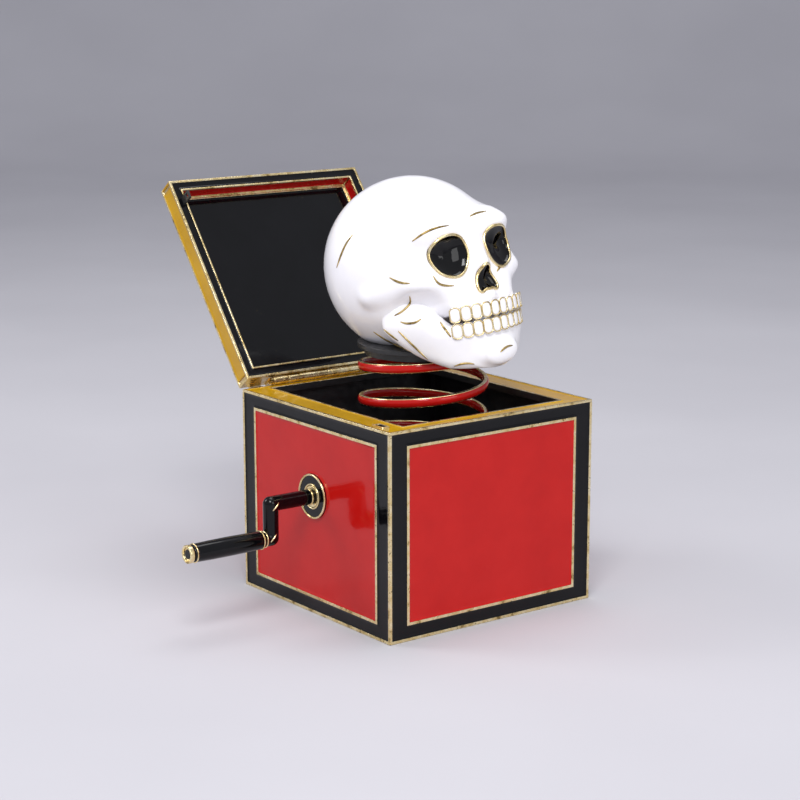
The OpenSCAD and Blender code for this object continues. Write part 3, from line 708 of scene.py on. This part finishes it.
def jaw_raw(p):
    x, F, U = np.abs(p[..., 0]), -p[..., 1], p[..., 2]
    s = 0.70 + 0.30 * sstep(U, -68, -28)
    rad = 38.4 * s - 5.5 * sstep(U, -30, -12)
    fc = 17.5 + (1 - s) * 17
    ring = np.abs(np.sqrt(x * x + np.maximum(F - fc, 0) ** 2) - rad) - 4.2
    ring = np.where(F > fc, ring, np.abs(x - rad) - 4.2)
    d = smax(poly2(F, U, JAW_P) + 2.4, ring + 1.4, 7) - 2.4
    d = smin(d, ell(p, (0, -57.0, -51.5), (11, 3.2, 5.5)), 8)
    return d


def jaw_sdf(p):
    d = jaw_raw(p)
    w = p @ HR.T + SKC
    cyl = np.maximum(np.hypot(w[..., 0] - SPX, w[..., 1] - SPY) - 38.2, w[..., 2] - 146.5)
    return smax(d, -cyl, 2)


def surface_nets(f, lo, hi, h):
    ax = [np.arange(a, b + h, h) for a, b in zip(lo, hi)]
    G = np.stack(np.meshgrid(*ax, indexing="ij"), -1)
    V = np.empty(G.shape[:3])
    for i in range(len(ax[0])):
        V[i] = f(G[i])
    ins = V < 0
    nx, ny, nz = V.shape
    total, acc = np.zeros((nx - 1, ny - 1, nz - 1)), np.zeros((nx - 1, ny - 1, nz - 1, 3))
    corners = [(i, j, k) for i in (0, 1) for j in (0, 1) for k in (0, 1)]
    sub = lambda A, c: A[c[0]:nx - 1 + c[0], c[1]:ny - 1 + c[1], c[2]:nz - 1 + c[2]]
    for a in corners:
        for axis in range(3):
            if a[axis]:
                continue
            b = tuple(1 if m == axis else a[m] for m in range(3))
            va, vb = sub(V, a), sub(V, b)
            cross = (va < 0) != (vb < 0)
            t = np.where(cross, va / np.where(cross, va - vb, 1), 0)
            pos = np.zeros(cross.shape + (3,))
            for m in range(3):
                pos[..., m] = a[m]
            pos[..., axis] += t
            acc += pos * cross[..., None]
            total += cross
    active = total > 0
    ids = np.full(active.shape, -1)
    ids[active] = np.arange(active.sum())
    cell = np.argwhere(active)
    verts = np.array(lo, float) + (cell + acc[active] / total[active][:, None]) * h
    faces = []
    for axis in range(3):
        u, v = [(1, 2), (2, 0), (0, 1)][axis]
        a = [slice(1, n - 1) for n in (nx, ny, nz)]
        b = list(a)
        a[axis], b[axis] = slice(0, (nx, ny, nz)[axis] - 1), slice(1, (nx, ny, nz)[axis])
        A, B = ins[tuple(a)], ins[tuple(b)]
        off = np.array([1, 1, 1])
        off[axis] = 0
        for flip, where in ((False, A & ~B), (True, ~A & B)):
            idx = np.argwhere(where) + off
            if not len(idx):
                continue
            du, dv = np.eye(3, dtype=int)[u], np.eye(3, dtype=int)[v]
            q = [ids[tuple((idx - e).T)] for e in (du * 0, du, du + dv, dv)]
            q = np.stack(q if not flip else q[::-1], -1)
            faces.append(q[(q >= 0).all(1)])
    faces = np.vstack(faces)
    for _ in range(2):
        e = 0.15
        d = f(verts)
        g = np.stack([f(verts + np.eye(3)[m] * e) - f(verts - np.eye(3)[m] * e) for m in range(3)], -1) / (2 * e)
        step = g * (d / np.maximum((g * g).sum(-1), 0.2))[:, None]
        n = np.linalg.norm(step, axis=1)
        verts = verts - step * np.minimum(1, 0.4 * h / np.maximum(n, 1e-9))[:, None]
    return verts, faces


GRID = 0.9
v, fc = surface_nets(skull_sdf, (-53, -64, -48), (53, 53, 52), GRID)
cran = obj_from("cranium_shell", to_world(v) * MM, fc, WHITE)
rides(cran, "jack", "skull_cranium")
v, fc = surface_nets(jaw_sdf, (-47, -66, -64), (47, 4, -4), GRID)
jawo = obj_from("jaw_bone", to_world(v) * MM, fc, WHITE)
rides(jawo, "jack", "skull_jaw")

# sockets: poured gloss black with a brass line round each
liners, rims = [], []
for outline, dip, back in ((EYE_L, 3.6, 0.9), (EYE_L * [-1, 1], 3.6, 0.9), (NOSE_L, 2.2, 0.7)):
    outline = np.array(outline)
    c = outline.mean(0)
    Fr = front_f(outline[:, 0], outline[:, 1], skull_raw)
    Fr = sum(np.roll(Fr, k) for k in (-1, 0, 1)) / 3
    fm = Fr.mean()
    n = len(outline)
    verts, faces = [], []
    rings = [1.03, 1.0, 0.97, 0.93, 0.87, 0.78, 0.66, 0.5, 0.33, 0.16]
    for j, s in enumerate(rings):
        q = c + (outline - c) * min(s, 1.0)
        F = Fr * s + fm * (1 - s) - back - dip * (1 - s ** 3.2) + (0.35 if s > 0.95 else 0)
        if j == 0:
            F = Fr - 6.0
        verts += [(a, -f_, b) for (a, b), f_ in zip(q, F)]
    verts.append((c[0], -(fm - back - dip), c[1]))
    for j in range(len(rings) - 1):
        for k in range(n):
            k2 = (k + 1) % n
            faces.append((j * n + k, j * n + k2, (j + 1) * n + k2, (j + 1) * n + k))
    for k in range(n):
        faces.append(((len(rings) - 1) * n + k, (len(rings) - 1) * n + (k + 1) % n, len(verts) - 1))
    faces.append(tuple(range(n)))
    liners.append((to_world(np.array(verts)) * MM, faces))
    rim = np.stack([outline[:, 0], -(Fr + 0.05), outline[:, 1]], -1)
    rims.append(sweep(to_world(rim), circle(0.78, 12), closed=True))
rides(join("socket_pools", liners, SOCKET), "jack", "socket_liners")

# teeth: pillowed enamel on the arch, each in its own brass line
TOOTH_MEN = [(0.0, -1.1), (0.12, -0.55), (0.35, -0.22), (0.75, -0.02), (1.3, 0.10), (1.9, 0.15)]
for name, u0, u1, r, node in (("teeth_top", -31.0, -22.6, 44.2, "upper_teeth"), ("teeth_bottom", -40.0, -31.7, 43.3, "lower_teeth")):
    parts = []
    for k in range(10):
        ang0 = math.radians((k - 4.5) * 8.1)
        jit = rng.uniform(-0.18, 0.18)
        shrink = 0.25 * abs(k - 4.5) / 4.5

        def put(a, b, h, ang0=ang0, r=r):
            t = ang0 + a / r
            return to_world(((r + h) * math.sin(t), -ARCH_C - (r + h) * math.cos(t), b)) * MM
        top, bot = (u1 + jit - shrink, u0) if name == "teeth_top" else (u1, u0 + jit + shrink)
        loops, ring = pour(-2.92, 2.92, bot + 0.1, top - 0.1, r=2.3, depth=3.0, men=TOOTH_MEN)
        parts.append(loft(loops, ring, put))
        line = [np.array(put(a, b, -0.12)) / MM for a, b in rrect(-2.86, 2.86, bot + 0.16, top - 0.16, 2.3)]
        rims.append(sweep(smooth_loop(line, 56), circle(0.34, 8), closed=True))
    rides(join(name, parts, TOOTH), "jack", node)
rides(join("socket_lines", rims, BRASS_FINE), "jack", None)

# line-work on the bone, found by looking along the viewing lines
VAZ, VEL = math.radians(-37.2), math.radians(13.08)
V_BACK = np.array([math.sin(VAZ) * math.cos(VEL), -math.cos(VAZ) * math.cos(VEL), math.sin(VEL)])
V_RIGHT = np.array([math.cos(VAZ), math.sin(VAZ), 0])
V_UP = np.cross(V_BACK, V_RIGHT)
V_EYE = np.array([0, 0, 90.0]) + V_BACK * 1200


def bone(p):
    return np.minimum(skull_sdf(p), jaw_sdf(p))


def look(uv):
    """Surface points seen at (u, v), in mm across and up a plane through the middle of the box."""
    uv = np.asarray(uv, float)
    D = V_RIGHT * uv[:, :1] + V_UP * uv[:, 1:] - V_BACK * 1200
    D /= np.linalg.norm(D, axis=1)[:, None]
    O, D = (V_EYE - SKC) @ HR, D @ HR
    t = np.full(len(uv), 1000.0)
    for _ in range(70):
        t = t + np.clip(bone(O + D * t[:, None]), -5, 20) * 0.9
    p = O + D * t[:, None]
    return p, np.abs(bone(p)) < 0.4


def curve(pts, n):
    """An open Catmull-Rom curve."""
    P = np.array(pts, float)
    P = np.vstack([2 * P[0] - P[1], P, 2 * P[-1] - P[-2]])
    out = []
    for i in range(1, len(P) - 2):
        a, b, c, d = P[i - 1:i + 3]
        for t in np.linspace(0, 1, 16, endpoint=False):
            out.append(0.5 * (2 * b + (c - a) * t + (2 * a - 5 * b + 4 * c - d) * t * t + (3 * b - a - 3 * c + d) * t ** 3))
    out.append(P[-2])
    out = np.array(out)
    s = np.concatenate([[0], np.cumsum(np.linalg.norm(np.diff(out, axis=0), axis=1))])
    q = np.linspace(0, s[-1], n)
    return np.stack([np.interp(q, s, out[:, k]) for k in range(2)], -1)


STROKES = [[(-1.8, 110.5), (3.4, 114.2), (8.6, 116.9), (13.9, 118.6), (18.7, 119.4)],
           [(30.5, 124.5), (33.8, 126.1), (36.8, 126.9), (39.8, 127.5)],
           [(10.0, 91.0), (11.7, 88.2), (13.9, 86.3), (17.8, 85.5), (21.8, 85.5)],
           [(-14.6, 90.1), (-10.6, 88.0), (-7.1, 87.0), (-3.2, 86.8)],
           [(-35.3, 114.3), (-38.9, 109.2), (-41.6, 103.3), (-44.3, 95.7)],
           [(-3.2, 79.5), (-2.9, 76.1), (-4.5, 73.6), (-8.0, 70.6), (-12.0, 68.5)],
           [(-8.4, 65.1), (-5.5, 64.3), (-2.7, 64.3), (0.3, 64.9), (3.4, 66.8)],
           [(-23.6, 59.6), (-17.8, 55.8), (-10.6, 51.9), (-2.7, 48.5)],
           [(-17.8, 60.9), (-13.7, 57.6), (-9.7, 54.5)],
           [(-9.7, 60.0), (-4.5, 54.9), (0.8, 49.8), (6.9, 43.9)],
           [(13.9, 65.1), (15.8, 62.1), (17.8, 59.6), (20.0, 56.6)],
           [(45.8, 93.5), (47.3, 95.7), (48.8, 96.7), (50.6, 96.9)],
           [(48.2, 64.7), (50.6, 66.4), (52.6, 67.0), (54.7, 67.2)],
           [(47.9, 48.1), (50.0, 50.2), (52.3, 51.5), (54.7, 51.9)],
           [(21.8, 40.1), (26.1, 41.5), (30.2, 41.8), (33.2, 41.3)]]
strokes = []
for pts in STROKES:
    p, ok = look(curve(pts, 26))
    p = p[ok]
    if len(p) < 8:
        continue
    for _ in range(2):
        p[1:-1] = (p[:-2] + 2 * p[1:-1] + p[2:]) / 4
    m = len(p)
    strokes.append(sweep(to_world(p), lambda i, m=m: circle(0.16 + 0.50 * math.sin(math.pi * min(max((i + 0.5) / m, 0), 1)) ** 0.6, 8)))
rides(join("bone_lines", strokes, BRASS_DARK), "jack", None)


# ------------------------------------------------------------------ finishes on the CAD nodes
SLOT_MAT = {"brass": BRASS, "black_enamel": BLACK, "red_enamel": RED, "mustard_enamel": MUSTARD, "spring_red": RED,
            "steel": STEEL, "black_steel": BLACK_STEEL, "bone_white": WHITE, "socket_black": SOCKET}
slots = {s["node"]: s["material_slot"] for s in frame["record"]["subparts"]}
PLAIN = {"movement_plate", "movement_pillars", "drum_bracket", "crank_gear", "idler_gear", "drum_gear", "tune_drum", "corner_posts", "lid_stops"}
for name, o in NODES.items():
    m = BRASS_PLAIN if name in PLAIN else SLOT_MAT[slots[name]]
    o.data.materials.clear()
    o.data.materials.append(m)
    if name.endswith("_wall") or name in ("top_frame", "base_plate", "corner_posts"):
        # the faces that look into the well, and the underside of the top frame, are painted near black: painted shade
        o.data.materials.append(WELL_SHADE)
        for p in o.data.polygons:
            c = np.array(p.center) / MM
            inside = abs(c[0]) < WI + 0.2 and abs(c[1]) < WI + 0.2 and 2.5 < c[2] < TOP - 0.9
            under = name == "top_frame" and p.normal.z < -0.5
            if (name != "top_frame" and inside) or under or (name == "top_frame" and inside and c[2] < TOP - 1.2):
                p.material_index = 1
    if name in ("front_wall", "right_wall", "back_wall", "left_wall", "top_frame", "lid_shell", "lid_catch", "hinge_leaf_fixed", "hinge_leaf_moving",
                "lid_stops", "shaft_bush", "skull_base_plate", "movement_plate", "comb_block", "music_comb"):
        w = o.modifiers.new("weld", "WELD")
        w.merge_threshold = 1e-6
        b = o.modifiers.new("edge", "BEVEL")
        b.width = 0.00035 if name not in ("music_comb",) else 0.0001
        b.segments = 3
        b.limit_method = "ANGLE"
        b.angle_limit = math.radians(30)
        b.harden_normals = False
        for p in o.data.polygons:
            p.use_smooth = True
        sm = o.modifiers.new("wn", "WEIGHTED_NORMAL")
        sm.keep_sharp = True

# ------------------------------------------------------------------ floor, light, camera
bm = bmesh.new()
me = bpy.data.meshes.new("floor")
prof = [(-6.0, 0.0)] + [(2.2, 0.0)] + [(2.2 + 1.2 * math.sin(t), 1.2 - 1.2 * math.cos(t)) for t in np.linspace(0.1, math.pi / 2, 16)] + [(3.4, 6.0)]
rows = []
back = np.array([math.sin(math.radians(-37.2)), -math.cos(math.radians(-37.2))])
side = np.array([-back[1], back[0]])
for a, z in prof:
    rows.append([bm.verts.new((-back[0] * a + side[0] * w, -back[1] * a + side[1] * w, z - 0.0002)) for w in (-7, 7)])
for r0, r1 in zip(rows, rows[1:]):
    bm.faces.new((r0[0], r0[1], r1[1], r1[0]))
bmesh.ops.recalc_face_normals(bm, faces=bm.faces)
bm.to_mesh(me)
bm.free()
for p in me.polygons:
    p.use_smooth = True
floor = bpy.data.objects.new("floor", me)
bpy.context.scene.collection.objects.link(floor)
fm, nt, p = new_mat("floor_paper")
src = coords(nt)
nt.links.new(ramp(nt, noise(nt, src, 3, 3), [(0.3, (0.50, 0.49, 0.525)), (0.7, (0.54, 0.53, 0.565))]), p.inputs["Base Color"])
p.inputs["Roughness"].default_value = 0.85
me.materials.append(fm)
floor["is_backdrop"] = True


def area(name, loc, target, size, power, color=(1, 1, 1), size_y=None):
    l = bpy.data.lights.new(name, "AREA")
    l.energy = power
    l.color = color
    l.size = size
    if size_y:
        l.shape = "RECTANGLE"
        l.size_y = size_y
    o = bpy.data.objects.new(name, l)
    o.location = loc
    d = Vector(target) - Vector(loc)
    o.rotation_euler = d.to_track_quat("-Z", "Y").to_euler()
    bpy.context.scene.collection.objects.link(o)
    return o


area("key", (-0.75, -0.85, 1.35), (0, 0, 0.1), 0.6, 16)
area("fill", (0.15, -1.5, 0.75), (0, 0, 0.12), 0.8, 5.5)
area("top", (0.25, 0.15, 1.5), (0, 0, 0.1), 0.8, 7)
area("rim", (-0.9, 0.9, 0.9), (0, 0, 0.12), 0.5, 6)
w = bpy.data.worlds.new("studio")
bpy.context.scene.world = w
w.use_nodes = True
w.node_tree.nodes["Background"].inputs["Color"].default_value = (0.86, 0.88, 0.95, 1)
w.node_tree.nodes["Background"].inputs["Strength"].default_value = 0.62

az, el, dist = math.radians(-37.2), math.radians(13.08), 1.2
cam = bpy.data.cameras.new("cam")
cam.lens = 2130.4 * 36 / 800
cam.sensor_width = 36
cam.shift_x = -15.4 / 800
cam.shift_y = 37.5 / 800
co = bpy.data.objects.new("cam", cam)
d = Vector((math.sin(az) * math.cos(el), -math.cos(az) * math.cos(el), math.sin(el)))
co.location = Vector((0, 0, 0.09)) + d * dist
co.rotation_euler = (-d).to_track_quat("-Z", "Y").to_euler()
bpy.context.scene.collection.objects.link(co)
bpy.context.scene.camera = co
bpy.context.scene.view_settings.view_transform = "Standard"

VISUAL_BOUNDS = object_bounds()
flat = lambda b: [[round(float(c), 6) for c in p] for p in b]
{"cad": flat(CAD_BOUNDS), "visual": flat(VISUAL_BOUNDS)}
